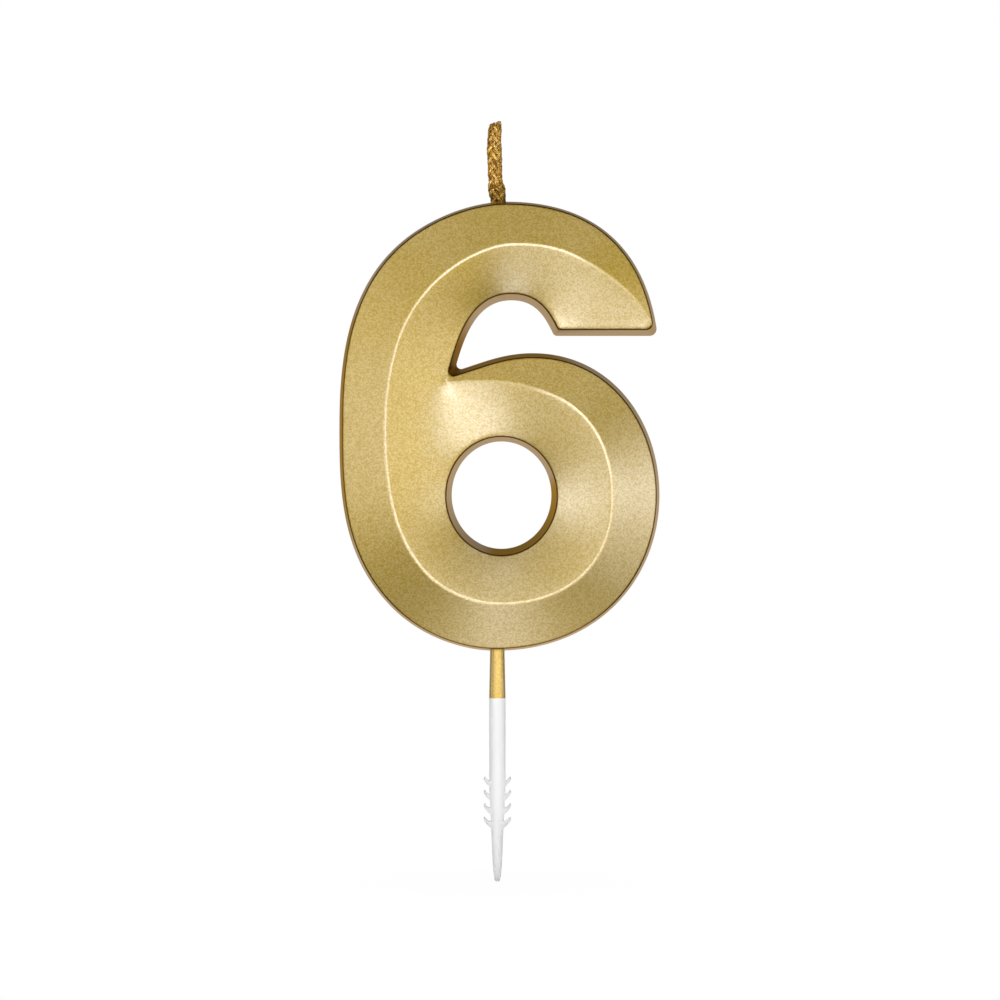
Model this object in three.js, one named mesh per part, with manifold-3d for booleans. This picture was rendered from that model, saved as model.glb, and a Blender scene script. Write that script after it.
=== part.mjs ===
// A birthday candle in the shape of the digit 6: moulded wax with a bevelled face,
// a braided wick that runs through the stroke, and a barbed plastic pick to stand it in a cake.
//
// Millimetres. The origin is on the pick's axis at the level of the cake's top.
// +X is to the reader's right, +Z is up, and the bevelled face looks towards -Y.

import * as THREE from 'three';
import { mergeVertices } from 'three/addons/utils/BufferGeometryUtils.js';
import Module from 'manifold-3d';

// Heights at the digit's flat back, stacked from the cake upwards
const standHeight = 7.1; // cake to the lowest point of the digit
const baseStroke = 15.95; // wax under the hole
const holeHeight = 16.7;
const bowlStroke = 13.8; // wax over the hole
const mouthGap = 2.65; // bowl's top to the hook's cut end
const archRise = 5.55; // cut end to the top of the arch
const crownStroke = 15.4; // wax over the arch

// Widths at the flat back, to the right of the pick's axis or from each other
const holeOffset = 0.65; // centre of the hole
const holeWidth = 15.5;
const stemStroke = 17.55; // wax left of the hole
const sideStroke = 16.9; // wax right of the hole
const crownOffset = 1.4; // highest point
const baseOffset = -0.3; // lowest point
const bowlOffset = 5.5; // top of the bowl
const archOffset = 2.2; // top of the arch
const hookOffset = 8.85; // inner corner of the cut end
const cutLength = 16.15; // inner corner to the tip of the hook
const notchReach = 12.15; // notch between bowl and stem, left of the bowl's top
const notchDrop = 2.8; // and under it

// Where the stem's outside turns, from its leftmost point and the digit's ends
const waistRise = 9.3; // leftmost point, over the hole's centre
const shoulderInset = 10.95;
const shoulderDrop = 5.3;
const heelInset = 8.25;
const heelRise = 6.7;

// Directions of the outline in degrees, counter-clockwise from +X
const hookHeading = 96.75; // leaving the hook's tip
const shoulderHeading = 216.5;
const heelHeading = 315;
const notchFloorHeading = 196.3;
const notchWallHeading = 74.75;
const hookInnerHeading = 296.4;

// Corner radii
const tipRadius = 1.1;
const hookRadius = 0.75;
const notchRadius = 0.7;

// Depth of the wax
const backDepth = 5; // pick's axis to the flat back
const faceDepth = 4.5; // pick's axis to the edge of the face
const wallDraft = 0.75; // how far the side wall leans in
const edgeBreak = 0.4; // chamfer round the face

// The face is an outer and an inner bevel that meet in a ridge. Widths of the outer bevel:
const bevelAngle = 20;
const hookBevel = 4.6; // halfway from the hook's tip to the crown
const crownBevel = 5.95;
const shoulderBevel = 7.35;
const waistBevel = 6.15;
const heelBevel = 6.9;
const baseBevel = 6.7;
const cheekBevel = 6.15; // halfway from the base to the bowl's right side
const sideBevel = 6.45;
const bowlBevel = 4.45;
const notchBevel = 0.75;

// The same by station. Whole stations are the outline's knots, counted from the hook's tip, and
// the last is the middle of the notch's rounded corner.
const bevelWidths = [
  [0, 0], [0.5, hookBevel], [1, crownBevel], [2, shoulderBevel], [3, waistBevel], [4, heelBevel],
  [5, baseBevel], [5.5, cheekBevel], [6, sideBevel], [7, bowlBevel], [8, notchBevel], [8.5, 0],
];
const valleyStation = 2.8; // where the inner bevel reaches from the stem across to the notch
const facetLength = 1.6; // along the outline
const cornerFacets = 4; // an even number

// The wick
const wickDiameter = 2.3;
const wickFree = 12.4; // standing over the crown
const wickLean = 0.5; // of the free end, to the left
const wickOffset = 0.2; // where it comes out, right of the axis
const wickPlunge = 3.4; // straight down into the wax
const wickStart = 1.5; // stations between which it follows the ridge
const wickEnd = 4.5;
const wickStops = 6;
const wickSides = 10;
const wickFacet = 2.6; // length of a facet along it

// The pick, from the cake's top down
const shaftDiameter = 2.56;
const shaftLength = 12.2; // to the tips of the first barbs
const barbPairs = 4;
const barbPitch = 2.08;
const barbReach = 2.15; // pick's axis to a barb's tip
const barbHeight = 1.65; // root to tip
const barbCrook = 0.55; // depth of the crook behind the tip
const barbTip = 0.36; // width of the tip
const barbThickness = 1.3;
const tailDiameter = 2; // under the last barb
const tailLength = 6.5;
const pointDiameter = 1.4; // where the point starts
const pointLength = 1.9;
const pointRadius = 0.45;

// The pick, from the cake's top up and into the wax
const neckDiameter = 2.26; // where it enters the wax
const collarCount = 2; // collars that hold it in the wax
const collarDiameter = 4;
const collarHeight = 1.3;
const collarSpacing = 2.3; // clear length under each collar
const anchorTail = 3.4; // from the last collar to the end
const pickSides = 24;

// Clearance round what is moulded into the wax
const mouldGap = 0.3;

const manifold = await Module();
manifold.setup();

function toSolid(geometry) {
  const bare = geometry.clone();
  bare.deleteAttribute('normal');
  bare.deleteAttribute('uv');
  const merged = mergeVertices(bare, 1e-4);
  return new manifold.Manifold(new manifold.Mesh({
    numProp: 3,
    vertProperties: merged.attributes.position.array,
    triVerts: new Uint32Array(merged.index.array),
  }));
}

function toGeometry(solid) {
  const mesh = solid.getMesh();
  const geometry = new THREE.BufferGeometry();
  geometry.setAttribute('position', new THREE.BufferAttribute(mesh.vertProperties, 3));
  geometry.setIndex(new THREE.BufferAttribute(mesh.triVerts, 1));
  geometry.computeVertexNormals();
  return geometry;
}

function direction(degrees) {
  const angle = THREE.MathUtils.degToRad(degrees);
  return new THREE.Vector2(Math.cos(angle), Math.sin(angle));
}

// Knots of the outline at the flat back, counter-clockwise from the hook's tip
function knot(x, z, arrive, leave = arrive) {
  return { place: new THREE.Vector2(x, z), arrive: direction(arrive), leave: direction(leave) };
}

const holeCentre = new THREE.Vector2(holeOffset, standHeight + baseStroke + holeHeight / 2);
const bowlLevel = holeCentre.y + holeHeight / 2 + bowlStroke;
const cutLevel = bowlLevel + mouthGap;
const archLevel = cutLevel + archRise;
const crownLevel = archLevel + crownStroke;
const leftmost = holeCentre.x - holeWidth / 2 - stemStroke;
const rightmost = holeCentre.x + holeWidth / 2 + sideStroke;

const hookTip = knot(hookOffset + cutLength, cutLevel, 0, hookHeading);
const crown = knot(crownOffset, crownLevel, 180);
const shoulder = knot(leftmost + shoulderInset, crownLevel - shoulderDrop, shoulderHeading);
const waist = knot(leftmost, holeCentre.y + waistRise, 270);
const heel = knot(leftmost + heelInset, standHeight + heelRise, heelHeading);
const base = knot(baseOffset, standHeight, 0);
const side = knot(rightmost, holeCentre.y, 90);
const bowl = knot(bowlOffset, bowlLevel, 180);
const notch = knot(bowlOffset - notchReach, bowlLevel - notchDrop, notchFloorHeading, notchWallHeading);
const arch = knot(archOffset, archLevel, 0);
const hookInner = knot(hookOffset, cutLevel, hookInnerHeading, 0);

// The curve between two knots. A fullness is a handle's length over the straight distance.
function span(from, to, leaveFullness, arriveFullness) {
  const reach = from.place.distanceTo(to.place);
  return new THREE.CubicBezierCurve(
    from.place,
    from.place.clone().addScaledVector(from.leave, reach * leaveFullness),
    to.place.clone().addScaledVector(to.arrive, -reach * arriveFullness),
    to.place,
  );
}

const spans = [
  span(hookTip, crown, 0.357, 0.507),
  span(crown, shoulder, 0.296, 0.343),
  span(shoulder, waist, 0.41, 0.27),
  span(waist, heel, 0.358, 0.381),
  span(heel, base, 0.402, 0.257),
  span(base, side, 0.459, 0.366),
  span(side, bowl, 0.393, 0.412),
  span(bowl, notch, 0.384, 0.342),
  span(notch, arch, 0.399, 0.386),
  span(arch, hookInner, 0.48, 0.308),
  new THREE.LineCurve(hookInner.place, hookTip.place),
];

// Rounded corners, by the span that arrives at each
const cornerRadii = new Map([[7, notchRadius], [9, hookRadius], [10, tipRadius]]);

// A point of a span moved into the wax. Past its ends a span runs on straight.
function insetPoint(curve, t, inset) {
  const end = THREE.MathUtils.clamp(t, 0, 1);
  const tangent = curve.getTangent(end);
  const inward = new THREE.Vector2(-tangent.y, tangent.x);
  const place = curve.getPoint(end).addScaledVector(tangent, (t - end) * curve.getLength());
  return { place: place.addScaledVector(inward, inset), inward };
}

// Where two neighbouring spans meet once both are moved into the wax, by Newton's method
function meeting(before, after, inset) {
  const nudge = 1e-4;
  const rounds = 24;
  let s = 1;
  let t = 0;
  for (let round = 0; round < rounds; round += 1) {
    const here = insetPoint(before, s, inset).place;
    const there = insetPoint(after, t, inset).place;
    const gap = there.clone().sub(here);
    const ahead = insetPoint(before, s + nudge, inset).place.sub(here).divideScalar(nudge);
    const beyond = insetPoint(after, t + nudge, inset).place.sub(there).divideScalar(nudge);
    const turn = ahead.cross(beyond);
    s += gap.cross(beyond) / turn;
    t += gap.cross(ahead) / turn;
  }
  return { s, t };
}

// A rounded corner, of one radius whatever the inset
function roundedCorner(before, after, inset, radius) {
  const bulge = Math.sign(before.getTangent(1).cross(after.getTangent(0)));
  const centreInset = inset + bulge * radius;
  const { s, t } = meeting(before, after, centreInset);
  const centre = insetPoint(before, s, centreInset).place;
  const startAngle = insetPoint(before, s, inset).place.sub(centre).angle();
  const endAngle = insetPoint(after, t, inset).place.sub(centre).angle();
  const turn = THREE.MathUtils.euclideanModulo(bulge * (endAngle - startAngle), 2 * Math.PI);
  const points = [];
  for (let i = 0; i < cornerFacets; i += 1) {
    const angle = startAngle + bulge * turn * i / cornerFacets;
    const outward = new THREE.Vector2(Math.cos(angle), Math.sin(angle));
    const inward = outward.clone().multiplyScalar(-bulge);
    points.push({ place: centre.clone().addScaledVector(outward, radius), inward });
  }
  return { s, t, points };
}

// The whole outline moved into the wax, as places, inward directions and stations.
// A station is the number of spans and corners passed.
function outlineRing(inset) {
  const corners = spans.map((curve, i) => {
    const next = spans[(i + 1) % spans.length];
    return cornerRadii.has(i) ? roundedCorner(curve, next, inset, cornerRadii.get(i)) : null;
  });
  const ring = [];
  let station = 0;
  spans.forEach((curve, i) => {
    const arrival = corners[(i + spans.length - 1) % spans.length];
    const start = arrival ? arrival.t : 0;
    const end = corners[i] ? corners[i].s : 1;
    const facets = Math.ceil(curve.getLength() / facetLength);
    for (let k = 0; k < facets; k += 1) {
      const t = THREE.MathUtils.lerp(start, end, k / facets);
      ring.push({ ...insetPoint(curve, t, inset), station: station + k / facets });
    }
    station += 1;
    if (corners[i]) {
      corners[i].points.forEach((point, k) => {
        ring.push({ ...point, station: station + k / cornerFacets });
      });
      station += 1;
    }
  });
  return ring;
}

// The hole's edge moved into the wax, counter-clockwise from the side that faces the notch
function holeRing(inset) {
  const start = notch.place.clone().sub(holeCentre).angle();
  const facets = Math.ceil(Math.PI * (holeWidth + holeHeight) / 2 / facetLength);
  const ring = [];
  for (let k = 0; k < facets; k += 1) {
    const angle = start + 2 * Math.PI * k / facets;
    const across = (holeWidth / 2 + inset) * Math.cos(angle);
    const up = (holeHeight / 2 + inset) * Math.sin(angle);
    ring.push({ place: new THREE.Vector2(holeCentre.x + across, holeCentre.y + up) });
  }
  return ring;
}

// A smooth curve through [position, value] pairs
function smoothThrough(pairs, position) {
  const above = pairs.findIndex(([x], i) => i > 0 && position <= x);
  const i = above < 0 ? pairs.length - 2 : above - 1;
  const slope = (k) => {
    const [xa, ya] = pairs[Math.max(k - 1, 0)];
    const [xb, yb] = pairs[Math.min(k + 1, pairs.length - 1)];
    return (yb - ya) / (xb - xa);
  };
  const [x0, y0] = pairs[i];
  const [x1, y1] = pairs[i + 1];
  const u = (position - x0) / (x1 - x0);
  const startPull = slope(i) * (x1 - x0) - (y1 - y0);
  const endPull = (y1 - y0) - slope(i + 1) * (x1 - x0);
  return y0 + (y1 - y0) * u + u * (1 - u) * ((1 - u) * startPull + u * endPull);
}

// The edge of the face, and the part of it that the outer bevel follows
const faceInset = wallDraft + edgeBreak;
const faceEdge = outlineRing(faceInset);
const lastStation = bevelWidths[bevelWidths.length - 1][0];
const bevelledEdge = faceEdge.filter(({ station }) => station <= lastStation);
const edgeLengths = [0];
bevelledEdge.slice(1).forEach(({ place }, i) => {
  edgeLengths.push(edgeLengths[i] + place.distanceTo(bevelledEdge[i].place));
});

// The two points of the bevelled edge on either side of a station, and how far between them it is
function aroundStation(station) {
  const b = Math.max(bevelledEdge.findIndex((point) => point.station >= station), 1);
  const a = b - 1;
  const share = (station - bevelledEdge[a].station) / (bevelledEdge[b].station - bevelledEdge[a].station);
  return { a, b, share };
}

const widthsAlongEdge = bevelWidths.map(([station, width]) => {
  const { a, b, share } = aroundStation(station);
  return [THREE.MathUtils.lerp(edgeLengths[a], edgeLengths[b], share), width];
});

// The ridge: each point of the bevelled edge moved inwards and forwards
const ridge = bevelledEdge.map(({ place, inward }, i) => {
  const width = smoothThrough(widthsAlongEdge, edgeLengths[i]);
  const rise = width * Math.tan(THREE.MathUtils.degToRad(bevelAngle));
  return { place: place.clone().addScaledVector(inward, width), rise };
});

// A skin of triangles over rows of points. Bands run with their first row on the left.
class Skin {
  places = [];

  triangles = [];

  // Adds a row of points at a depth, each forward of it by its own rise
  row(points, depth) {
    return points.map(({ place, rise = 0 }) => {
      this.places.push(new THREE.Vector3(place.x, depth - rise, place.y));
      return this.places.length - 1;
    });
  }

  triangle(a, b, c) {
    if (a !== b && b !== c && c !== a) this.triangles.push(a, b, c);
  }

  // A band between two rows with as many points
  band(left, right) {
    for (let i = 0; i + 1 < left.length; i += 1) {
      this.triangle(left[i], right[i], right[i + 1]);
      this.triangle(left[i], right[i + 1], left[i + 1]);
    }
  }

  // A band between two rows with unlike numbers of points, along the shorter diagonals
  lace(left, right) {
    const gap = (a, b) => this.places[a].distanceTo(this.places[b]);
    let i = 0;
    let j = 0;
    while (i < left.length - 1 || j < right.length - 1) {
      const atLeftEnd = i === left.length - 1;
      const atRightEnd = j === right.length - 1;
      if (!atLeftEnd && (atRightEnd || gap(left[i + 1], right[j]) <= gap(left[i], right[j + 1]))) {
        this.triangle(left[i], right[j], left[i + 1]);
        i += 1;
      } else {
        this.triangle(left[i], right[j], right[j + 1]);
        j += 1;
      }
    }
  }

  // The flat back between the outline and the hole
  back(outline, hole) {
    const all = [...outline, ...hole];
    const flat = (i) => new THREE.Vector2(this.places[i].x, this.places[i].z);
    THREE.ShapeUtils.triangulateShape(outline.map(flat), [hole.map(flat)]).forEach((corners) => {
      const [a, b, c] = corners.map((i) => all[i]);
      const turn = flat(b).sub(flat(a)).cross(flat(c).sub(flat(a)));
      if (turn > 0) this.triangle(a, c, b);
      else this.triangle(a, b, c);
    });
  }

  geometry() {
    const geometry = new THREE.BufferGeometry();
    geometry.setFromPoints(this.places);
    geometry.setIndex(this.triangles);
    return geometry;
  }
}

function closed(row) {
  return [...row, row[0]];
}

function waxBody() {
  const skin = new Skin();
  const breakDepth = edgeBreak - faceDepth;
  const outlineBack = skin.row(outlineRing(0), backDepth);
  const outlineWall = skin.row(outlineRing(wallDraft), breakDepth);
  const outlineFace = skin.row(faceEdge, -faceDepth);
  const holeBack = skin.row(holeRing(0), backDepth);
  const holeWall = skin.row(holeRing(wallDraft), breakDepth);
  const holeFace = skin.row(holeRing(faceInset), -faceDepth);
  skin.back(outlineBack, holeBack);
  skin.band(closed(outlineWall), closed(outlineBack));
  skin.band(closed(outlineFace), closed(outlineWall));
  skin.band(closed(holeBack), closed(holeWall));
  skin.band(closed(holeWall), closed(holeFace));

  // The ridge starts on the hook's tip and ends in the notch
  const notchPoint = bevelledEdge.length - 1;
  const crest = [
    outlineFace[0],
    ...skin.row(ridge.slice(1, notchPoint), -faceDepth),
    outlineFace[notchPoint],
  ];
  skin.band(crest, outlineFace.slice(0, notchPoint + 1));

  // The inner bevel: hook and stem down to the valley, the valley, then round the hole
  const valley = aroundStation(valleyStation).b;
  const hookEdge = [outlineFace[0], ...outlineFace.slice(notchPoint).reverse()];
  skin.lace(hookEdge, crest.slice(0, valley + 1));
  skin.triangle(crest[valley], holeFace[0], outlineFace[notchPoint]);
  skin.lace(closed(holeFace), crest.slice(valley));
  return skin.geometry();
}

// The wick's route: free end, straight down into the crown, then under the ridge to the base
function wickRoute() {
  const route = [
    new THREE.Vector3(wickOffset - wickLean, 0, crownLevel + wickFree),
    new THREE.Vector3(wickOffset, 0, crownLevel),
    new THREE.Vector3(wickOffset, 0, crownLevel - wickPlunge),
  ];
  for (let stop = 0; stop < wickStops; stop += 1) {
    const station = THREE.MathUtils.lerp(wickStart, wickEnd, stop / (wickStops - 1));
    const { a, b, share } = aroundStation(station);
    const place = ridge[a].place.clone().lerp(ridge[b].place, share);
    route.push(new THREE.Vector3(place.x, 0, place.y));
  }
  return new THREE.CatmullRomCurve3(route, false, 'centripetal');
}

function tubeAlong(route, radius) {
  const section = new THREE.Shape();
  for (let i = 0; i < wickSides; i += 1) {
    const angle = 2 * Math.PI * i / wickSides;
    const corner = [radius * Math.cos(angle), radius * Math.sin(angle)];
    if (i === 0) section.moveTo(...corner);
    else section.lineTo(...corner);
  }
  const steps = Math.ceil(route.getLength() / wickFacet);
  return new THREE.ExtrudeGeometry(section, { extrudePath: route, steps, bevelEnabled: false });
}

function wickChannel(route) {
  const radius = wickDiameter / 2 + mouldGap;
  const inner = route.getPoint(1);
  const end = new THREE.SphereGeometry(radius + mouldGap, wickSides, wickSides);
  end.translate(inner.x, inner.y, inner.z);
  return toSolid(tubeAlong(route, radius)).add(toSolid(end));
}

// A turned solid on the pick's axis from [radius, height] pairs, upwards, axis to axis
function turned(profile) {
  const points = profile.map(([radius, height]) => new THREE.Vector2(radius, height));
  const geometry = new THREE.LatheGeometry(points, pickSides);
  geometry.rotateX(Math.PI / 2);
  return toSolid(geometry);
}

// The collared anchor in the wax, up from where the neck ends, with a gap round it
function anchorProfile(gap) {
  const neck = neckDiameter / 2 + gap;
  const collar = collarDiameter / 2 + gap;
  const profile = [];
  let height = standHeight;
  for (let i = 0; i < collarCount; i += 1) {
    height += collarSpacing;
    profile.push([neck, height - gap], [collar, height - gap]);
    height += collarHeight;
    profile.push([collar, height + gap], [neck, height + gap]);
  }
  height += anchorTail;
  profile.push([neck, height + gap], [0, height + gap]);
  return profile;
}

const lastBarbLevel = -shaftLength - (barbPairs - 1) * barbPitch;
const tailLevel = lastBarbLevel - barbHeight;
const pointLevel = tailLevel - tailLength;
const tipLevel = pointLevel - pointLength;

function pickShaft() {
  const profile = [];
  const pointSteps = 4;
  for (let i = 0; i < pointSteps; i += 1) {
    const angle = Math.PI / 2 * i / pointSteps;
    profile.push([pointRadius * Math.sin(angle), tipLevel + pointRadius * (1 - Math.cos(angle))]);
  }
  profile.push([pointRadius, tipLevel + pointRadius]);
  profile.push([pointDiameter / 2, pointLevel]);
  profile.push([tailDiameter / 2, tailLevel]);
  profile.push([shaftDiameter / 2, -shaftLength]);
  profile.push([shaftDiameter / 2, 0]);
  profile.push([neckDiameter / 2, standHeight]);
  return turned([...profile, ...anchorProfile(0)]);
}

// One barb, curving out from the axis and up to its tip, and turned about the axis
function barb(tip, turn) {
  const shape = new THREE.Shape();
  const round = barbTip / 2;
  shape.moveTo(0, -barbHeight);
  shape.quadraticCurveTo(barbReach, -barbHeight, barbReach, -round);
  shape.absarc(barbReach - round, -round, round, 0, Math.PI, false);
  shape.quadraticCurveTo(barbReach - barbTip, -barbCrook, 0, -barbCrook);
  shape.closePath();
  const curveSegments = 6;
  const geometry = new THREE.ExtrudeGeometry(shape, {
    depth: barbThickness, curveSegments, bevelEnabled: false,
  });
  geometry.translate(0, 0, -barbThickness / 2);
  geometry.rotateX(Math.PI / 2);
  geometry.rotateZ(turn);
  geometry.translate(0, 0, tip);
  return toSolid(geometry);
}

function pickSolid() {
  let solid = pickShaft();
  for (let pair = 0; pair < barbPairs; pair += 1) {
    const tip = -shaftLength - pair * barbPitch;
    solid = solid.add(barb(tip, 0)).add(barb(tip, Math.PI));
  }
  return solid;
}

// The socket runs out of the wax below, past its lowest point
function pickSocket() {
  const mouth = standHeight - wallDraft - edgeBreak;
  const radius = neckDiameter / 2 + mouldGap;
  return turned([[0, mouth], [radius, mouth], ...anchorProfile(mouldGap)]);
}

function namedMesh(name, geometry, colour, roughness, metalness) {
  const material = new THREE.MeshStandardMaterial({ color: colour, roughness, metalness });
  const mesh = new THREE.Mesh(geometry, material);
  mesh.name = name;
  return mesh;
}

const route = wickRoute();
const wax = toSolid(waxBody()).subtract(wickChannel(route)).subtract(pickSocket());

const candle = new THREE.Group();
candle.add(namedMesh('candle_body', toGeometry(wax), 0xb79b5c, 0.36, 0.85));
candle.add(namedMesh('wick', tubeAlong(route, wickDiameter / 2), 0xa67c2e, 0.6, 0.5));
candle.add(namedMesh('pick', toGeometry(pickSolid()), 0xf0f0f3, 0.35, 0));

export default candle;
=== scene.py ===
# A birthday candle in the shape of the digit 6: wax under a satin gold lacquer, with a bevelled
# face, a braided wick and a barbed plastic pick.
#
# Sizes are millimetres until a mesh is finished. Places on the digit are (x, z) pairs, seen from
# the front, and depth runs along y, away from the reader.

import math
import random

import bmesh
import bpy
import numpy as np
from mathutils import Matrix, Vector
from mathutils.bvhtree import BVHTree
from mathutils.geometry import delaunay_2d_cdt


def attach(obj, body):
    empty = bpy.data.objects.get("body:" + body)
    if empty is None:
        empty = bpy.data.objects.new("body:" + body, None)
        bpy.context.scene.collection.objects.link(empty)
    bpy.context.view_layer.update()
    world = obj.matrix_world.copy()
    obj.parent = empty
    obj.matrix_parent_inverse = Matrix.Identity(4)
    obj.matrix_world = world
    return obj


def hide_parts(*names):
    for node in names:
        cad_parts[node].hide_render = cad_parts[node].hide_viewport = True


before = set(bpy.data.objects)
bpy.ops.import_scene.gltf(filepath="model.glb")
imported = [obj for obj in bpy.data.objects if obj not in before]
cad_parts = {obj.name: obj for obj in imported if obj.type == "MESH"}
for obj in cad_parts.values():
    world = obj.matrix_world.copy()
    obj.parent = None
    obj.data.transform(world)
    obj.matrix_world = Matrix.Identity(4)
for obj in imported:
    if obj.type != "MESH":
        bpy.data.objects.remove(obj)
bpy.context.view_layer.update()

MM = 0.001
BODY = "root"

# Heights at the digit's flat back, stacked from the cake upwards
stand_height = 7.1
base_stroke = 15.95
hole_height = 16.7
bowl_stroke = 13.8
mouth_gap = 2.65
arch_rise = 5.55
crown_stroke = 15.4

# Widths at the flat back
hole_offset = 0.65
hole_width = 15.5
stem_stroke = 17.55
side_stroke = 16.9
crown_offset = 1.4
base_offset = -0.3
bowl_offset = 5.5
arch_offset = 2.2
hook_offset = 8.85
cut_length = 16.15
notch_reach = 12.15
notch_drop = 2.8
waist_rise = 9.3
shoulder_inset = 10.95
shoulder_drop = 5.3
heel_inset = 8.25
heel_rise = 6.7

# Headings of the outline, in degrees counter-clockwise from the right
hook_heading = 96.75  # leaving the hook's tip
shoulder_heading = 216.5
heel_heading = 315
notch_floor_heading = 196.3
notch_wall_heading = 74.75
hook_inner_heading = 296.4

# Corner radii seen from the front
tip_radius = 1.1
hook_radius = 0.75
notch_radius = 0.7

# Depth of the wax
back_depth = 5  # from the pick's axis to the back
face_depth = 4.5  # and to the face's edge
wall_draft = 0.75  # how far the wall leans in
edge_break = 0.4
face_inset = wall_draft + edge_break
face_round = 0.45  # radius of the face's edge
back_round = 0.22  # radius of the back's edge
back_dish = 0.12  # how far the poured back has sunk
dish_reach = 4  # from the back's edge to where it has sunk that far

# The bevels
bevel_slope = math.tan(math.radians(20))
edge_slope = math.tan(math.radians(17))  # between the outer bevel's slope and the inner one's
ridge_half = 0.3  # half the width of the rounded ridge
ridge_share = 0.3  # and at most this share of the outer bevel's width
# How wide the outer bevel is, by station: 0 at the hook's tip, 2 at the shoulder, 3 at the waist,
# 5 at the base, 7 at the top of the bowl and 8 in the notch
bevel_widths = [
    (0, 0), (0.15, 1.75), (0.3, 3.4), (0.5, 4.8), (0.75, 5.5), (1, 6.05), (1.5, 6.7), (2, 7.35),
    (2.2, 7.45), (2.5, 6.95), (2.95, 6.2), (3.3, 6.55), (3.65, 6.93), (4, 6.86), (4.6, 6.74),
    (5, 6.64), (5.2, 6.42), (5.55, 6.17), (6, 6.44), (6.2, 6.38), (6.45, 6.12), (6.7, 5.7),
    (6.9, 5.05), (7, 4.4), (7.25, 3.45), (7.6, 2), (7.85, 1.05), (8.2, 0.4), (8.5, 0),
]
# The inner bevel's foot leaves the edge of the hook and stem here, by station, and meets the hole
corner_flat = (10.48, 12.4)
stem_foot = 9.4
hole_foot = (157, 441)  # degrees round the hole
corner_headings = (180, 116)  # leaving the cut end and meeting the arch
stem_headings = (215, 280)  # leaving the arch and meeting the hole
bridge_fullness = 0.27

# The wick, down the middle of its free end and then by stations of the ridge
free_wick = [
    (-0.28, 89.36), (-0.32, 88.8), (-0.48, 86.3), (-0.4, 83), (-0.24, 79.5), (0.14, 77.15),
    (0.2, 73.75),
]
hidden_wick = (1.5, 4.5)
hidden_stops = 6
# Its thickness, by the distance from its top
wick_girth = [(0, 0.78), (1.6, 0.93), (4, 1), (9.4, 0.96), (10.6, 1.18), (11.8, 1.06), (13, 1)]
cut_tip = 0.75  # the cut's high side, right of the wick's middle
cut_slope = 0.42
cut_fade = 1.5  # how far down the slant dies out
strands = 6  # each way round
braid_pitch = 9.6
braid_length = 16.5
braid_radius = 0.84
braid_lift = 0.19  # how far a strand rises and dips where it crosses the others
strand_half_width = 0.27
strand_half_thickness = 0.21
strand_fullness = 1.12  # width of the strands that turn one way, for 1 of the others
yarns = 4  # in a strand
yarn_pitch = 3.4
yarn_depth = 0.13
core_radius = 0.62
hidden_radius = 1.1
core_flare = (3, 1)  # before the braid's end, where the core widens to the hidden wick
# How the strands stray: by how much, and over what length of the wick
strand_sway = (0.06, 1.3)  # radians round the braid
strand_heave = (0.045, 0.9)
strand_swell = (0.14, 0.7)  # share of its thickness

# The pick, from its point up
pick_tip = -28.49
point_radius = 0.47
pick_girth = [
    (0.56, -27.4), (0.7, -26.2), (0.93, -20.7), (0.98, -19.3), (1.1, -17.2),
    (1.22, -15), (1.27, -12.2), (1.28, 0), (1.13, 7.1),
]
barb_pairs = 4
barb_level = -12.2  # the first tips
barb_pitch = 2.08
barb_reach = 2.15  # from the pick's axis
barb_height = 1.65
barb_crook = 0.55
barb_sag = 0.1  # how far the root and the crook are moulded lower
barb_width = 0.36
barb_thickness = 1.3
neck_radius = 1.13
collar_count = 2
collar_radius = 2
collar_height = 1.3
collar_spacing = 2.3
anchor_tail = 3.4

# Colours
deep_face_gold = (0.4, 0.263, 0)
pale_face_gold = (0.49, 0.358, 0.1)
# richer gold of the upper left slopes, partly painted warm light
deep_rich_warm_lit_gold = (0.43, 0.283, 0)
pale_rich_warm_lit_gold = (0.535, 0.38, 0.08)
# painted shade round the face's edge
edge_shade_gold = (0.2, 0.1, 0)
wall_gold = (0.5, 0.34, 0.08)
# painted shade in the notch
notch_shade_gold = (0.26, 0.14, 0.01)
back_gold = (0.56, 0.385, 0.05)
deep_gold = (0.28, 0.11, 0.006)
bright_gold = (0.8, 0.5, 0.1)
# painted highlights on the wick
painted_glint_gold = (0.95, 0.84, 0.52)
deep_spray_gold = (0.38, 0.225, 0)
pale_spray_gold = (0.5, 0.33, 0.02)
white_plastic = (0.94, 0.94, 1)
floor_white = (0.9, 0.9, 0.9)

# Sizes of the lacquer's patterns, and where its colour changes
flake_size = 0.2
grain_size = 0.27
cloud_size = 7
edge_shade_depths = (3.4, 4.1)  # forward of the pick's axis, where the face's painted dark edge begins
rich_warm_lit_heights = (20, 48)  # above them the slopes are a richer gold, partly painted warm light
lower_heights = (8, 26)  # below them the face is duller
stem_edge = (-5, -1)  # across, between the stem and the notch
arch_middle = (-5, 1)  # across, between the arch's left and right halves
notch_shade_foot = (46, 48)  # the lowest and highest of the notch's painted shade, as heights
notch_shade_top = (54, 60)
upturned_shade_top = (56, 64)  # the highest of the walls with painted shade
root_shade_heights = (77.1, 80.5)  # where the wick leaves the wax and its painted shade fades out
spray_end = (-0.02, 0.05)  # of the gold on the pick

# The camera: places, then lens and sensor width
camera_place = (0.41, -700, 41.87)
camera_target = (0.41, 0, 30.72)
camera_lens = 162.7
camera_sensor = 36

# The floor's rings, and where its shade fades out, in metres
floor_drop = 0.05  # under the pick's point, in millimetres
floor_radii = (0.015, 0.025, 0.035, 0.045)
floor_fade = (0.018, 0.042)
floor_sides = 96

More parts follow.
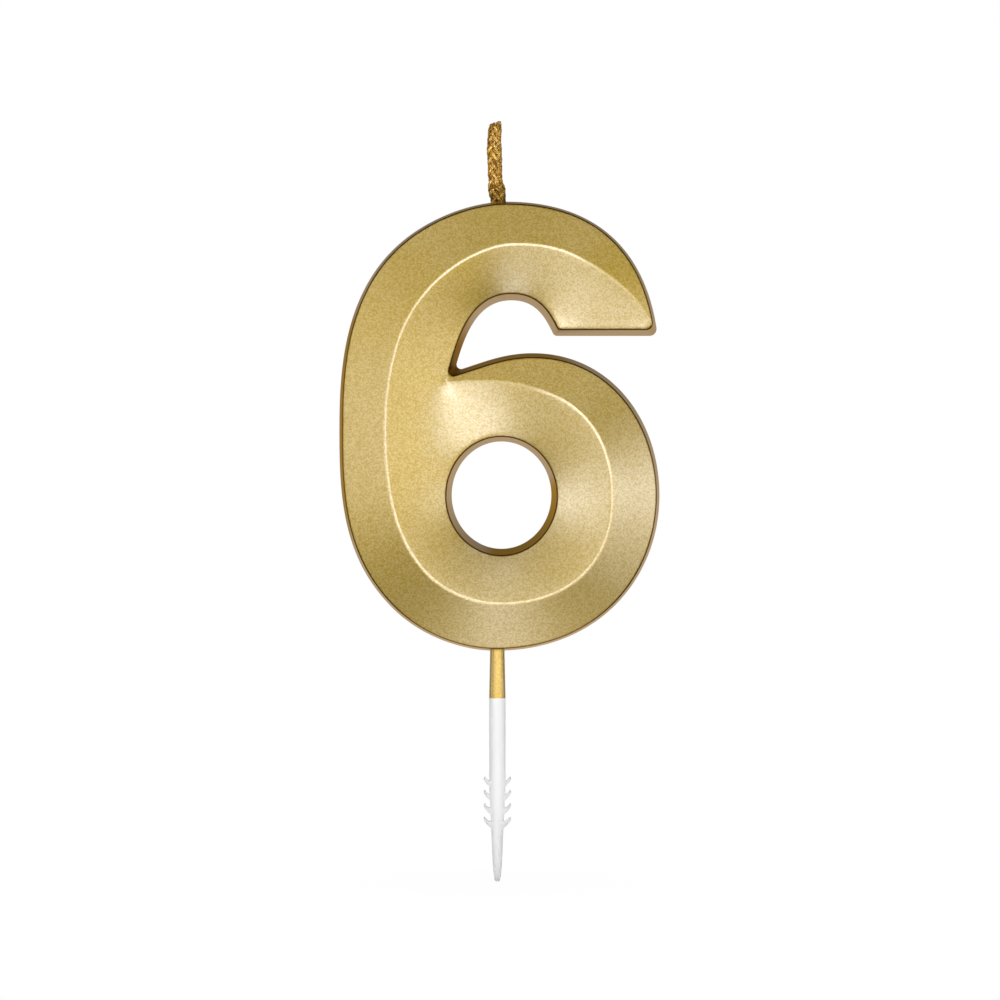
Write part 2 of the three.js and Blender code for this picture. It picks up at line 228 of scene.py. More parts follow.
# Soft white lamps: name, degrees off the front, degrees round it from the right, power in watts.
# The lamps and the world together light a white face to about white.
room_light = 0.05
lamp_size = 0.24  # metres
lamp_target = (0.0004, 0, 0.042)  # metres
lamps = [
    ("front", 10, 60, 2.66),
    ("front_low", 10, 240, 1.38),
    ("right_near", 34, 0, 1.05),
    ("right", 52, 0, 1.17),
    ("top_right", 52, 60, 0.6),
    ("top", 34, 90, 0.51),
    ("top_left", 52, 120, 0.72),
    ("upper_left", 52, 150, 0.66),
    ("left_near", 34, 180, 1.47),
    ("left", 52, 180, 0.63),
    ("low", 36, 270, 1.2),
    ("low_right", 34, 330, 0.6),
    ("right_side", 88, 0, 1.1),
    ("left_side", 88, 180, 1.1),
]

# Fineness of the meshes
weld_gap = 0.002  # points closer than this are joined
outline_step = 0.35
corner_steps = 12
ridge_steps = 9
# Rows down the wall and up the outer bevel, close to its edges too, so that it shades flat
wall_shares = (0.03, 0.35, 0.7, 0.97)
bevel_shares = (0.03, 0.3, 0.55, 0.8, 0.97)
face_step = 0.5
back_step = 1.6
blend_rounds = 100  # how far the inner bevel's slopes run into each other
hook_crispness = 0.95  # how much less they do so at the hook's corner
crisp_start = 1.4  # over 1, so that it holds in full near the corner
crisp_reach = 6  # how slowly it fades from there
line_step = 0.1
strand_step = 0.11
strand_sides = 16
core_step = 0.4
hidden_step = 0.9
core_sides = 24
pick_sides = 40
melt_size = 0.09


# The outline of the digit

def heading(degrees):
    angle = math.radians(degrees)
    return np.array([math.cos(angle), math.sin(angle)])


def knot(x, z, arrive, leave=None):
    """A place of the outline, with the directions in which it is reached and left."""
    return np.array([x, z]), heading(arrive), heading(arrive if leave is None else leave)


def span(start, end, leave_fullness, arrive_fullness):
    """The curve between two knots, as the four points of a cubic."""
    reach = np.linalg.norm(end[0] - start[0])
    return np.array([
        start[0],
        start[0] + start[2] * reach * leave_fullness,
        end[0] - end[1] * reach * arrive_fullness,
        end[0],
    ])


def digit_spans():
    """The outline at the flat back, counter-clockwise from the hook's tip."""
    bowl_level = hole_level + hole_height / 2 + bowl_stroke
    cut_level = bowl_level + mouth_gap
    arch_level = cut_level + arch_rise
    crown_level = arch_level + crown_stroke
    leftmost = hole_offset - hole_width / 2 - stem_stroke
    rightmost = hole_offset + hole_width / 2 + side_stroke
    notch_place = (bowl_offset - notch_reach, bowl_level - notch_drop)
    tip = knot(hook_offset + cut_length, cut_level, 0, hook_heading)
    crown = knot(crown_offset, crown_level, 180)
    shoulder = knot(leftmost + shoulder_inset, crown_level - shoulder_drop, shoulder_heading)
    waist = knot(leftmost, hole_level + waist_rise, 270)
    heel = knot(leftmost + heel_inset, stand_height + heel_rise, heel_heading)
    base = knot(base_offset, stand_height, 0)
    side = knot(rightmost, hole_level, 90)
    bowl = knot(bowl_offset, bowl_level, 180)
    notch = knot(*notch_place, notch_floor_heading, notch_wall_heading)
    arch = knot(arch_offset, arch_level, 0)
    hook = knot(hook_offset, cut_level, hook_inner_heading, 0)
    return [
        span(tip, crown, 0.357, 0.507),
        span(crown, shoulder, 0.296, 0.343),
        span(shoulder, waist, 0.41, 0.27),
        span(waist, heel, 0.358, 0.381),
        span(heel, base, 0.402, 0.257),
        span(base, side, 0.459, 0.366),
        span(side, bowl, 0.393, 0.412),
        span(bowl, notch, 0.384, 0.342),
        span(notch, arch, 0.399, 0.386),
        span(arch, hook, 0.48, 0.308),
        np.linspace(hook[0], tip[0], 4),
    ]


hole_level = stand_height + base_stroke + hole_height / 2
spans = digit_spans()
corner_radii = {7: notch_radius, 9: hook_radius, 10: tip_radius}  # by the span before the corner


def along(curve, t):
    """Places and directions of a cubic. Past its ends it runs on straight."""
    t = np.asarray(t, float)[..., None]
    u = np.clip(t, 0, 1)
    a, b, c, d = curve
    place = (1 - u) ** 3 * a + 3 * u * (1 - u) ** 2 * b + 3 * u * u * (1 - u) * c + u ** 3 * d
    run = (1 - u) ** 2 * (b - a) + 2 * u * (1 - u) * (c - b) + u * u * (d - c)
    ahead = run / np.linalg.norm(run, axis=-1, keepdims=True)
    return place + ahead * (t - u) * np.linalg.norm(d - a), ahead


def moved_in(curve, t, inset):
    """Places of a cubic moved into the wax, and the directions in which they moved."""
    place, ahead = along(curve, t)
    inward = np.stack([-ahead[..., 1], ahead[..., 0]], -1)
    return place + inward * inset, inward


def cross(a, b):
    return a[0] * b[1] - a[1] * b[0]


def unit(vectors):
    return vectors / np.linalg.norm(vectors, axis=-1, keepdims=True)


def reaches(places):
    """How far along a row of places each of them lies."""
    return np.concatenate([[0], np.cumsum(np.linalg.norm(np.diff(places, axis=0), axis=1))])


def meeting(before, after, inset):
    """Where two neighbouring spans meet once both are moved into the wax."""
    nudge = 1e-4
    s, t = 1.0, 0.0
    for _ in range(24):
        here = moved_in(before, s, inset)[0]
        there = moved_in(after, t, inset)[0]
        ahead = (moved_in(before, s + nudge, inset)[0] - here) / nudge
        beyond = (moved_in(after, t + nudge, inset)[0] - there) / nudge
        turn = cross(ahead, beyond)
        s += cross(there - here, beyond) / turn
        t += cross(there - here, ahead) / turn
    return s, t


def rounded_corner(before, after, inset, radius):
    """A corner of one radius whatever the inset, and where the spans beside it end."""
    bulge = np.sign(cross(along(before, 1)[1], along(after, 0)[1]))
    centre_inset = inset + bulge * radius
    s, t = meeting(before, after, centre_inset)
    centre = moved_in(before, s, centre_inset)[0]
    first = moved_in(before, s, inset)[0] - centre
    last = moved_in(after, t, inset)[0] - centre
    start = math.atan2(first[1], first[0])
    turn = (bulge * (math.atan2(last[1], last[0]) - start)) % (2 * math.pi)
    angles = start + bulge * turn * np.arange(corner_steps) / corner_steps
    outward = np.stack([np.cos(angles), np.sin(angles)], -1)
    return s, t, centre + outward * radius, -bulge * outward


def outline_ring(inset):
    """The outline moved into the wax: places, inward directions and stations.
    A station is the number of spans and corners passed."""
    corners = {}
    for i, radius in corner_radii.items():
        corners[i] = rounded_corner(spans[i], spans[(i + 1) % len(spans)], inset, radius)
    places, inwards, stations = [], [], []
    station = 0
    for i, curve in enumerate(spans):
        arrival = corners.get((i - 1) % len(spans))
        start = arrival[1] if arrival else 0
        end = corners[i][0] if i in corners else 1
        steps = math.ceil(reaches(along(curve, np.linspace(0, 1, 50))[0])[-1] / outline_step)
        shares = np.arange(steps) / steps
        place, inward = moved_in(curve, start + (end - start) * shares, inset)
        places.append(place)
        inwards.append(inward)
        stations.append(station + shares)
        station += 1
        if i in corners:
            places.append(corners[i][2])
            inwards.append(corners[i][3])
            stations.append(station + np.arange(corner_steps) / corner_steps)
            station += 1
    return np.concatenate(places), np.concatenate(inwards), np.concatenate(stations)


def hole_places(degrees, inset):
    """Places on the hole's edge moved into the wax."""
    angles = np.radians(degrees)
    across = (hole_width / 2 + inset) * np.cos(angles)
    up = (hole_height / 2 + inset) * np.sin(angles)
    return np.stack([hole_offset + across, hole_level + up], -1)


def hole_ring(inset):
    """The whole edge of the hole moved into the wax."""
    steps = math.ceil(math.pi * (hole_width + hole_height) / 2 / outline_step)
    return hole_places(360 * np.arange(steps) / steps, inset)


def bridge(start, start_heading, end, end_heading):
    """Places on a smooth curve from one place to another."""
    first, last = knot(*start, start_heading), knot(*end, end_heading)
    curve = span(first, last, bridge_fullness, bridge_fullness)
    steps = math.ceil(np.linalg.norm(end - start) / outline_step)
    return along(curve, np.linspace(0, 1, steps + 1))[0]


def smooth_through(pairs, positions):
    """A smooth curve through (position, value) pairs."""
    xs, ys = np.array(pairs, float).T
    slopes = np.gradient(ys, xs)
    slopes[1:-1] = (ys[2:] - ys[:-2]) / (xs[2:] - xs[:-2])
    i = np.clip(np.searchsorted(xs, positions, side="left") - 1, 0, len(xs) - 2)
    run = xs[i + 1] - xs[i]
    rise = ys[i + 1] - ys[i]
    u = (positions - xs[i]) / run
    pull = (1 - u) * (slopes[i] * run - rise) + u * (rise - slopes[i + 1] * run)
    return ys[i] + rise * u + u * (1 - u) * pull


# Meshes

def forward_points(flat, depths):
    """(x, z) places as points, at one depth or at one each."""
    return [(x, y, z) for (x, z), y in zip(flat, np.broadcast_to(depths, len(flat)))]


def around(sides):
    """The angles of a ring's points."""
    return 2 * math.pi * np.arange(sides) / sides


def circle(sides, radius, height):
    """Points of a level ring round the z axis."""
    ring = around(sides)
    return np.stack([radius * np.cos(ring), radius * np.sin(ring), np.full(sides, height)], -1)


class Skin:
    """Rows of points and the faces between them."""

    def __init__(self):
        self.points = []
        self.faces = []

    def add(self, points):
        first = len(self.points)
        self.points += [tuple(p) for p in points]
        return list(range(first, len(self.points)))

    def row(self, flat, depth):
        """Adds (x, z) places at one depth, or at one each."""
        return self.add(forward_points(flat, depth))

    def cap(self, ring):
        """Closes a ring with triangles to its middle."""
        middle = self.add([np.mean([self.points[i] for i in ring], axis=0)])[0]
        self.faces += [(middle, a, b) for a, b in zip(ring, ring[1:] + ring[:1])]

    def sheet(self, flat, depths, triangles):
        """Adds (x, z) places at their depths, and triangles between them."""
        points = np.array(self.row(flat, depths))
        self.faces += [tuple(corners) for corners in points[triangles]]

    def band(self, left, right):
        for i in range(len(left) - 1):
            self.faces.append((left[i], right[i], right[i + 1], left[i + 1]))

    def rows(self, rows, closed):
        for left, right in zip(rows, rows[1:]):
            if closed:
                self.band(left + left[:1], right + right[:1])
            else:
                self.band(left, right)

    def mesh(self, name, scale=MM):
        """The finished mesh, its doubled points joined and its faces turned out."""
        weld = weld_gap * scale
        work = bmesh.new()
        verts = [work.verts.new(Vector(p) * scale) for p in self.points]
        for face in self.faces:
            corners = list(dict.fromkeys(face))
            if len(corners) > 2:
                work.faces.new([verts[i] for i in corners])
        bmesh.ops.remove_doubles(work, verts=work.verts, dist=weld)
        bmesh.ops.dissolve_degenerate(work, edges=work.edges, dist=weld)
        bmesh.ops.recalc_face_normals(work, faces=work.faces)
        for face in work.faces:
            face.smooth = True
        mesh = bpy.data.meshes.new(name)
        work.to_mesh(mesh)
        work.free()
        return mesh


def piece(name, mesh, material):
    """A new object of one material."""
    made = bpy.data.objects.new(name, mesh)
    bpy.context.scene.collection.objects.link(made)
    mesh.materials.clear()
    mesh.materials.append(material)
    return made


def inside(loop, places):
    """Which places lie inside a closed loop."""
    x, z = places[:, 0, None], places[:, 1, None]
    ax, az = loop[:, 0], loop[:, 1]
    bx, bz = np.roll(ax, -1), np.roll(az, -1)
    straddles = (az > z) != (bz > z)
    reach = ax + (z - az) * (bx - ax) / np.where(bz == az, 1, bz - az)
    return (straddles & (x < reach)).sum(1) % 2 == 1


def filled(outer, inner, step):
    """Places and triangles of the area between two loops. The loops' own places come first."""
    edge = np.concatenate([outer, inner])
    low, high = outer.min(0), outer.max(0)
    rise = step * math.sqrt(3) / 2
    grid = []
    for k, z in enumerate(np.arange(low[1], high[1], rise)):
        shift = step / 2 if k % 2 else 0
        grid += [(x + shift, z) for x in np.arange(low[0], high[0], step)]
    grid = np.array(grid)
    grid = grid[inside(outer, grid) & ~inside(inner, grid)]
    clear = np.array([np.min(np.sum((edge - p) ** 2, 1)) > (0.55 * step) ** 2 for p in grid])
    places = np.concatenate([edge, grid[clear]])
    n, m = len(outer), len(inner)
    sides = [(i, (i + 1) % n) for i in range(n)]
    sides += [(n + i, n + (i + 1) % m) for i in range(m)]
    _, _, faces, origins, _, _ = delaunay_2d_cdt([Vector(p) for p in places], sides, [], 0, 1e-7)
    triangles = np.array([[origins[i][0] for i in face] for face in faces])
    middles = places[triangles].mean(1)
    return places, triangles[inside(outer, middles) & ~inside(inner, middles)]


def relaxed(values, places, triangles, ease, rounds):
    """Values at a mesh's points after each has moved to its neighbours' mean, by its own ease:
    0 holds it and 1 moves it all the way. The neighbours count by the angles opposite their
    sides, which leaves a plane as it is."""
    ends, weights = [], []
    for k in range(3):
        corner, a, b = triangles[:, k], triangles[:, k - 2], triangles[:, k - 1]
        u, v = places[a] - places[corner], places[b] - places[corner]
        cotangent = np.sum(u * v, 1) / np.abs(u[:, 0] * v[:, 1] - u[:, 1] * v[:, 0])
        ends += [(a, b), (b, a)]
        weights += [cotangent, cotangent]
    here = np.concatenate([a for a, _ in ends])
    there = np.concatenate([b for _, b in ends])
    weights = np.maximum(np.concatenate(weights), 0.01)
    total = np.bincount(here, weights, len(values))
    for _ in range(rounds):
        mean = np.bincount(here, weights * values[there], len(values)) / total
        values = values + ease * (mean - values)
    return values


# The wax digit

def edge_profile():
    """(inset, depth) pairs from the flat back, down the drafted wall and round the face's edge."""
    lean = wall_draft / (back_depth + face_depth - edge_break)
    profile = []
    for angle in np.linspace(math.pi / 2, 0, 5):
        inset = back_round * (1 - math.cos(angle))
        depth = back_depth - back_round * (1 - math.sin(angle))
        profile.append((inset + lean * (back_depth - depth), depth))
    forward = lean * (back_depth + face_depth - face_inset * edge_slope)
    corner = np.array([forward / (1 - lean * edge_slope), 0])
    corner[1] = back_depth - corner[0] / lean
    wall_angle = math.atan(lean)
    bevel_angle = math.atan(edge_slope)
    turn = math.pi / 2 - wall_angle - bevel_angle
    reach = face_round * math.tan(turn / 2)
    start = corner + reach * np.array([-math.sin(wall_angle), math.cos(wall_angle)])
    centre = start + face_round * np.array([math.cos(wall_angle), math.sin(wall_angle)])
    back_edge = np.array(profile[-1])
    for share in wall_shares:
        profile.append(tuple(back_edge + share * (start - back_edge)))
    for angle in np.linspace(math.pi + wall_angle, 1.5 * math.pi - bevel_angle, 7):
        profile.append(tuple(centre + face_round * np.array([math.cos(angle), math.sin(angle)])))
    return profile


def lace(left, right):
    """Triangles between two rows of points, along the shorter diagonals."""
    i = j = 0
    found = []
    while i < len(left) - 1 or j < len(right) - 1:
        left_done = i == len(left) - 1
        right_done = j == len(right) - 1
        if left_done or right_done:
            left_steps = right_done
        else:
            left_steps = math.dist(left[i + 1], right[j]) <= math.dist(left[i], right[j + 1])
        if left_steps:
            found.append((left[i], right[j], left[i + 1]))
            i += 1
        else:
            found.append((left[i], right[j], right[j + 1]))
            j += 1
    return found


def evened(values, reach=12, rounds=3):
    """Values along a row, each averaged with its neighbours."""
    for _ in range(rounds):
        padded = np.pad(values, reach, mode="edge")
        values = np.convolve(padded, np.ones(2 * reach + 1) / (2 * reach + 1), mode="valid")
    return values


def surface_over(triangles, level):
    """A function that gives the depth of some triangles at an (x, z) place, seen from the front,
    and a level where there are none."""
    points = [Vector(p) for triangle in triangles for p in triangle]
    tree = BVHTree.FromPolygons(points, [(i, i + 1, i + 2) for i in range(0, len(points), 3)])
    in_front = 50

    def depth(place):
        hit = tree.ray_cast(Vector((place[0], -in_front, place[1])), Vector((0, 1, 0)))[0]
        return level if hit is None else hit.y

    return depth


def bevel_foot(places, stations, inset):
    """Where the inner bevel ends, from the hook's tip to the notch: it cuts off the hook's corner,
    passes the notch on the left and goes round the hole."""
    before, after = corner_flat
    cut = places[stations >= after][::-1]
    arch = places[(stations >= stem_foot) & (stations <= before)][::-1]
    hole = hole_places(np.arange(*hole_foot, 2), inset)
    corner = bridge(cut[-1], corner_headings[0], arch[0], corner_headings[1])
    stem = bridge(arch[-1], stem_headings[0], hole[0], stem_headings[1])
    return np.concatenate([places[:1], cut, corner[1:-1], arch, stem[1:-1], hole])


def ridge_line():
    """The ridge before it is rounded: stations, places and the outer bevel's widths."""
    face_places, inward, stations = outline_ring(face_inset)
    end = int(np.searchsorted(stations, bevel_widths[-1][0] - 1e-6)) + 1
    lengths = reaches(face_places[:end])
    marks = np.interp([station for station, _ in bevel_widths], stations[:end], lengths)
    widths = smooth_through(list(zip(marks, [width for _, width in bevel_widths])), lengths)
    return stations[:end], face_places[:end] + inward[:end] * widths[:, None], widths


def rounded_ridge(ridge, depths, widths, bare_depth):
    """Rows of places and depths over the ridge, from the outer bevel's side to the inner one's.
    Across the ridge the slope turns smoothly from one bevel's to the other's."""
    ahead = unit(np.gradient(ridge, axis=0))
    inward = np.stack([-ahead[:, 1], ahead[:, 0]], -1)
    half = np.minimum(ridge_half, ridge_share * widths)
    half[[0, -1]] = 0
    far_depths = np.array([bare_depth(p) for p in ridge + inward * half[:, None]])
    far_depths[[0, -1]] = depths[[0, -1]]
    drop = (far_depths - depths) / np.maximum(half, 1e-6)
    inner_slope = evened(np.where(half > 0, drop, 0))
    mean_slope = (bevel_slope + inner_slope) / 2
    tilt = (bevel_slope - inner_slope) / 2
    rows = []
    for share in np.linspace(-1, 1, ridge_steps):
        sag = half * (mean_slope * (2 + abs(share) ** 3) / 3 - tilt * share)
        places = ridge + inward * (share * half)[:, None]
        rows.append((places, np.where(half > 0, depths + sag, depths)))
    return rows


def lay_outer_bevel(skin, edge_row, edge, edge_depth, crest):
    """The outer bevel from the face's edge to the ridge, and the ridge itself."""
    near, near_depths = crest[0]
    rows = [edge_row]
    for share in bevel_shares:
        depths = edge_depth + share * (near_depths - edge_depth)
        rows.append(skin.row(edge + share * (near - edge), depths))
    rows += [skin.row(places, depths) for places, depths in crest]
    skin.rows(rows, closed=False)


def lay_inner_bevel(skin, far, far_depths, bare_edge, inset, edge_depth, bare_depth):
    """The inner bevel, from the ridge and the bare edge of the face to the hole. Its slopes run
    into each other, least of all at the hook's corner."""
    outer = np.concatenate([far, bare_edge])
    hole = hole_ring(inset)
    places, triangles = filled(outer, hole, face_step)
    held = len(outer) + len(hole)
    depths = np.array([bare_depth(p) for p in places])
    depths[:len(far)] = far_depths
    depths[len(far):held] = edge_depth
    from_corner = np.linalg.norm(places - (spans[-1][0] + inset), axis=1)
    crispness = np.clip(crisp_start - from_corner / crisp_reach, 0, 1)
    ease = np.where(np.arange(len(places)) < held, 0, 1 - hook_crispness * crispness)
    skin.sheet(places, relaxed(depths, places, triangles, ease, blend_rounds), triangles)


def lay_back(skin, inset):
    """The flat back, a little sunk away from its edges."""
    outer, hole = outline_ring(inset)[0], hole_ring(inset)
    places, triangles = filled(outer, hole, back_step)
    edge = np.concatenate([outer, hole])
    margin = np.array([np.sqrt(np.min(np.sum((edge - p) ** 2, 1))) for p in places])
    share = np.clip(margin / dish_reach, 0, 1)
    skin.sheet(places, back_depth - back_dish * share ** 2 * (3 - 2 * share), triangles)


def candle_skin():
    """The whole surface of the wax digit."""
    skin = Skin()
    profile = edge_profile()
    edge_inset, edge_depth = profile[-1]
    outline_rows = [skin.row(outline_ring(inset)[0], depth) for inset, depth in profile]
    hole_rows = [skin.row(hole_ring(inset), depth) for inset, depth in profile]
    skin.rows(outline_rows, closed=True)
    skin.rows(hole_rows, closed=True)

    # The ridge runs from the hook's tip into the notch, and meets the face's edge at both ends
    edge, _, stations = outline_ring(edge_inset)
    _, ridge, widths = ridge_line()
    count = len(ridge)
    ridge[[0, -1]] = edge[[0, count - 1]]
    ridge_depths = -face_depth - widths * bevel_slope
    ridge_depths[[0, -1]] = edge_depth

    foot = bevel_foot(edge, stations, edge_inset)
    slopes = lace(forward_points(foot, edge_depth), forward_points(ridge, ridge_depths))
    bare_depth = surface_over(slopes, edge_depth)
    crest = rounded_ridge(ridge, ridge_depths, widths, bare_depth)
    lay_outer_bevel(skin, outline_rows[-1][:count], edge[:count], edge_depth, crest)
    lay_inner_bevel(skin, *crest[-1], edge[count:], edge_inset, edge_depth, bare_depth)
    lay_back(skin, profile[0][0])
    return skin


# The wick: a straight braid, laid along the wick's line

def wander(dice, marks, amount, spacing):
    """Values up to an amount either way that change smoothly along some marks."""
    count = math.ceil((marks[-1] - marks[0]) / spacing) + 2
    knots = [(i, dice.uniform(-1, 1)) for i in range(count)]
    return amount * smooth_through(knots, (marks - marks[0]) / spacing)


def wick_line():
    """Points down the middle of the wick: free end, crown, then under the ridge to the base."""
    stations, ridge, _ = ridge_line()
    stops = np.linspace(*hidden_wick, hidden_stops)
    hidden = np.stack([np.interp(stops, stations, ridge[:, k]) for k in range(2)], -1)
    stays = np.concatenate([free_wick, hidden])
    reach = reaches(stays)
    marks = np.linspace(0, reach[-1], math.ceil(reach[-1] / line_step) + 1)
    x, z = (smooth_through(list(zip(reach, stays[:, k])), marks) for k in range(2))
    return np.stack([x, np.zeros(len(x)), z], -1)


def laid_along(line, places):
    """Places of a straight cord, as (across, behind, along), laid along a line in the xz plane."""
    lengths = reaches(line)
    across = np.cross(unit(np.gradient(line, axis=0)), (0, 1, 0))
    place, side = (
        np.stack([np.interp(places[..., 2], lengths, v[:, k]) for k in range(3)], -1)
        for v in (line, across)
    )
    return place + side * places[..., :1] + np.array([0, 1, 0]) * places[..., 1:2]


def cut_slanting(places):
    """Moves the top of the straight braid back to its slanting cut."""
    back = cut_slope * np.clip(cut_tip - places[..., 0], 0, None)
    places[..., 2] += back * np.clip(1 - places[..., 2] / cut_fade, 0, 1)
    return places


def strand_places(dice, way, start, marks):
    """Rings of one strand of the straight braid. It passes over two strands and under two."""
    turn = start / strands + way * marks / braid_pitch
    angle = 2 * math.pi * turn + wander(dice, marks, *strand_sway)
    crossings = 2 * strands * marks / braid_pitch
    beat = crossings - 1 + 2 * start if way > 0 else 1 - crossings + 2 * start
    lift = braid_lift * np.cos(math.pi / 2 * beat)
    radius = braid_radius + lift + wander(dice, marks, *strand_heave)
    path = np.stack([radius * np.cos(angle), radius * np.sin(angle), marks], -1)
    outward = np.stack([np.cos(angle), np.sin(angle), 0 * angle], -1)
    ahead = unit(np.gradient(path, axis=0))
    side = unit(np.cross(ahead, outward))
    outward = np.cross(side, ahead)
    size = 1 + wander(dice, marks, *strand_swell)
    twist = dice.uniform(0, 6) + way * 2 * math.pi * marks / yarn_pitch
    ring = around(strand_sides)
    swell = size[:, None] * (1 + yarn_depth * np.cos(yarns * ring + twist[:, None]))
    wide = strand_half_width * (strand_fullness if way > 0 else 1) * swell * np.cos(ring)
    thick = strand_half_thickness * swell * np.sin(ring)
    return path[:, None] + side[:, None] * wide[..., None] + outward[:, None] * thick[..., None]


def wick_skin():
    """The strands of the braid and the core that they go round."""
    skin = Skin()
    dice = random.Random(6)
    line = wick_line()

    def lay(rings):
        """Lays closed rings of the straight wick along its line, as one tube."""
        girth = np.interp(rings[..., 2:], *zip(*wick_girth))
        rings = np.concatenate([rings[..., :2] * girth, rings[..., 2:]], -1)
        rows = [skin.add(ring) for ring in laid_along(line, cut_slanting(rings))]
        skin.rows(rows, closed=True)
        skin.cap(rows[0])
        skin.cap(rows[-1])

    marks = np.arange(0, braid_length, strand_step)
    for start in range(strands):
        lay(strand_places(dice, 1, start, marks))
        lay(strand_places(dice, -1, start + 0.5, marks))

    # The core, which is the whole wick where the wax hides it
    braided = np.arange(0, braid_length, core_step)
    hidden = np.arange(braid_length, reaches(line)[-1], hidden_step)
    marks = np.concatenate([braided, hidden])
    flare = [braid_length - before for before in core_flare]
    radii = np.interp(marks, flare, (core_radius, hidden_radius))
    lay(np.array([circle(core_sides, radius, mark) for radius, mark in zip(radii, marks)]))
    return skin


# The pick

def bent(a, b, c, steps):
    """Places on the curve from a to c that b pulls to itself."""
    t = np.linspace(0, 1, steps + 1)[:, None]
    return (1 - t) ** 2 * np.array(a) + 2 * t * (1 - t) * np.array(b) + t * t * np.array(c)


def pick_profile():
    """(radius, height) pairs from the point to the end of the anchor."""
    pairs = []
    for angle in np.linspace(0, math.pi / 2, 7):
        rise = point_radius * (1 - math.cos(angle))
        pairs.append((point_radius * math.sin(angle), pick_tip + rise))
    pairs += pick_girth
    height = stand_height
    for _ in range(collar_count):
        height += collar_spacing
        pairs += [(neck_radius, height), (collar_radius, height)]
        height += collar_height
        pairs += [(collar_radius, height), (neck_radius, height)]
    height += anchor_tail
    return pairs + [(neck_radius, height), (0, height)]


def barb_outline():
    """One barb seen from the front, from the pick's axis out to its tip and back."""
    tip = barb_width / 2
    root = -barb_height - barb_sag
    crook = -barb_crook - barb_sag
    under = bent((0.9, root), (barb_reach - 0.15, -0.9), (barb_reach, -tip), 10)
    over = bent((barb_reach - barb_width, -tip), (1.5, crook), (1.1, crook), 8)
    angles = np.linspace(0, math.pi, 7)[1:-1]
    end = np.stack([barb_reach - tip + tip * np.cos(angles), -tip + tip * np.sin(angles)], -1)
    return np.concatenate([[(0, root)], under, end, over, [(0, crook)]])


def pick_mesh():
    """The pick as one moulded skin: a turned shaft and its barbs, melted together."""
    skin = Skin()
    rows = [skin.add(circle(pick_sides, radius, height)) for radius, height in pick_profile()]
    skin.rows(rows, closed=True)
    outline = barb_outline()
    for pair in range(barb_pairs):
        tip = barb_level - pair * barb_pitch
        for way in (-1, 1):
            flat = outline * (way, 1) + (0, tip)
            sides = [skin.row(flat, depth) for depth in (-barb_thickness / 2, barb_thickness / 2)]
            skin.rows(sides, closed=True)
            skin.faces += [tuple(side) for side in sides]
    rough = skin.mesh("pick_rough", scale=1)
    shape = bpy.data.objects.new("pick_rough", rough)
    bpy.context.scene.collection.objects.link(shape)
    melt = shape.modifiers.new("melt", "REMESH")
    melt.mode = "VOXEL"
    melt.voxel_size = melt_size
    ease = shape.modifiers.new("ease", "SMOOTH")
    ease.iterations = 4
    ready = shape.evaluated_get(bpy.context.evaluated_depsgraph_get())
    mesh = bpy.data.meshes.new_from_object(ready)
    bpy.data.objects.remove(shape)
    bpy.data.meshes.remove(rough)
    mesh.name = "barbed_pick"
    mesh.transform(Matrix.Scale(MM, 4))
    mesh.shade_smooth()
    return mesh


# Materials

class Field:
    """A number, colour or place that a tree's nodes work out, for use in ordinary sums."""

    def __init__(self, tree, socket):
        self.tree = tree
        self.socket = socket

    def sum_with(self, operation, a, b):
        return add_node(self.tree, "Math", {"operation": operation}, {0: a, 1: b})

    def __add__(self, other):
        return self.sum_with("ADD", self, other)

    def __sub__(self, other):
        return self.sum_with("SUBTRACT", self, other)

    def __rsub__(self, other):
        return self.sum_with("SUBTRACT", other, self)

    def __mul__(self, other):
        return self.sum_with("MULTIPLY", self, other)

    __radd__ = __add__
    __rmul__ = __mul__

    def or_more(self, other):
        return self.sum_with("MAXIMUM", self, other)

    def between(self, low, high):
        """0 under low, 1 over high and a smooth rise between them."""
        settings = {"interpolation_type": "SMOOTHSTEP"}
        sockets = {"Value": self, "From Min": low, "From Max": high}
        return add_node(self.tree, "MapRange", settings, sockets)

    def past(self, limits):
        """The same for a distance, with the two limits in millimetres."""
        return self.between(limits[0] * MM, limits[1] * MM)

    def part(self, axis):
        """The X, Y or Z of a place or direction."""
        return add_node(self.tree, "SeparateXYZ", {}, {0: self}, axis)

    def scaled(self, x, y, z):
        """A place with its axes scaled. A pattern on it is stretched along those under 1."""
        return add_node(self.tree, "VectorMath", {"operation": "MULTIPLY"}, {0: self, 1: (x, y, z)})

    def noise(self, size, detail=2, roughness=0.5):
        """Cloudy noise from 0 to 1 whose blots are about so large, in millimetres."""
        sockets = {"Vector": self, "Scale": 1 / (size * MM)}
        sockets |= {"Detail": detail, "Roughness": roughness}
        return add_node(self.tree, "TexNoise", {}, sockets, "Fac")

    def cells(self, size):
        """A random number from 0 to 1 for each small cell, so many millimetres across."""
        sockets = {"Vector": self, "Scale": 1 / (size * MM)}
        colour = add_node(self.tree, "TexVoronoi", {}, sockets, "Color")
        return add_node(self.tree, "SeparateColor", {}, {0: colour}, "Red")


def add_node(tree, kind, settings, sockets, outlet=0):
    """Adds a node: its settings first, then its sockets' values or links."""
    node = tree.nodes.new("ShaderNode" + kind)
    for name, value in settings.items():
        setattr(node, name, value)
    for name, value in sockets.items():
        if isinstance(value, Field):
            tree.links.new(value.socket, node.inputs[name])
        else:
            node.inputs[name].default_value = value
    return Field(tree, node.outputs[outlet])


def colour_between(share, first, second):
    """One colour at a share of 0 and the other at 1."""
    first, second = (c if isinstance(c, Field) else (*c, 1) for c in (first, second))
    return add_node(share.tree, "Mix", {"data_type": "RGBA"}, {0: share, 6: first, 7: second}, 2)


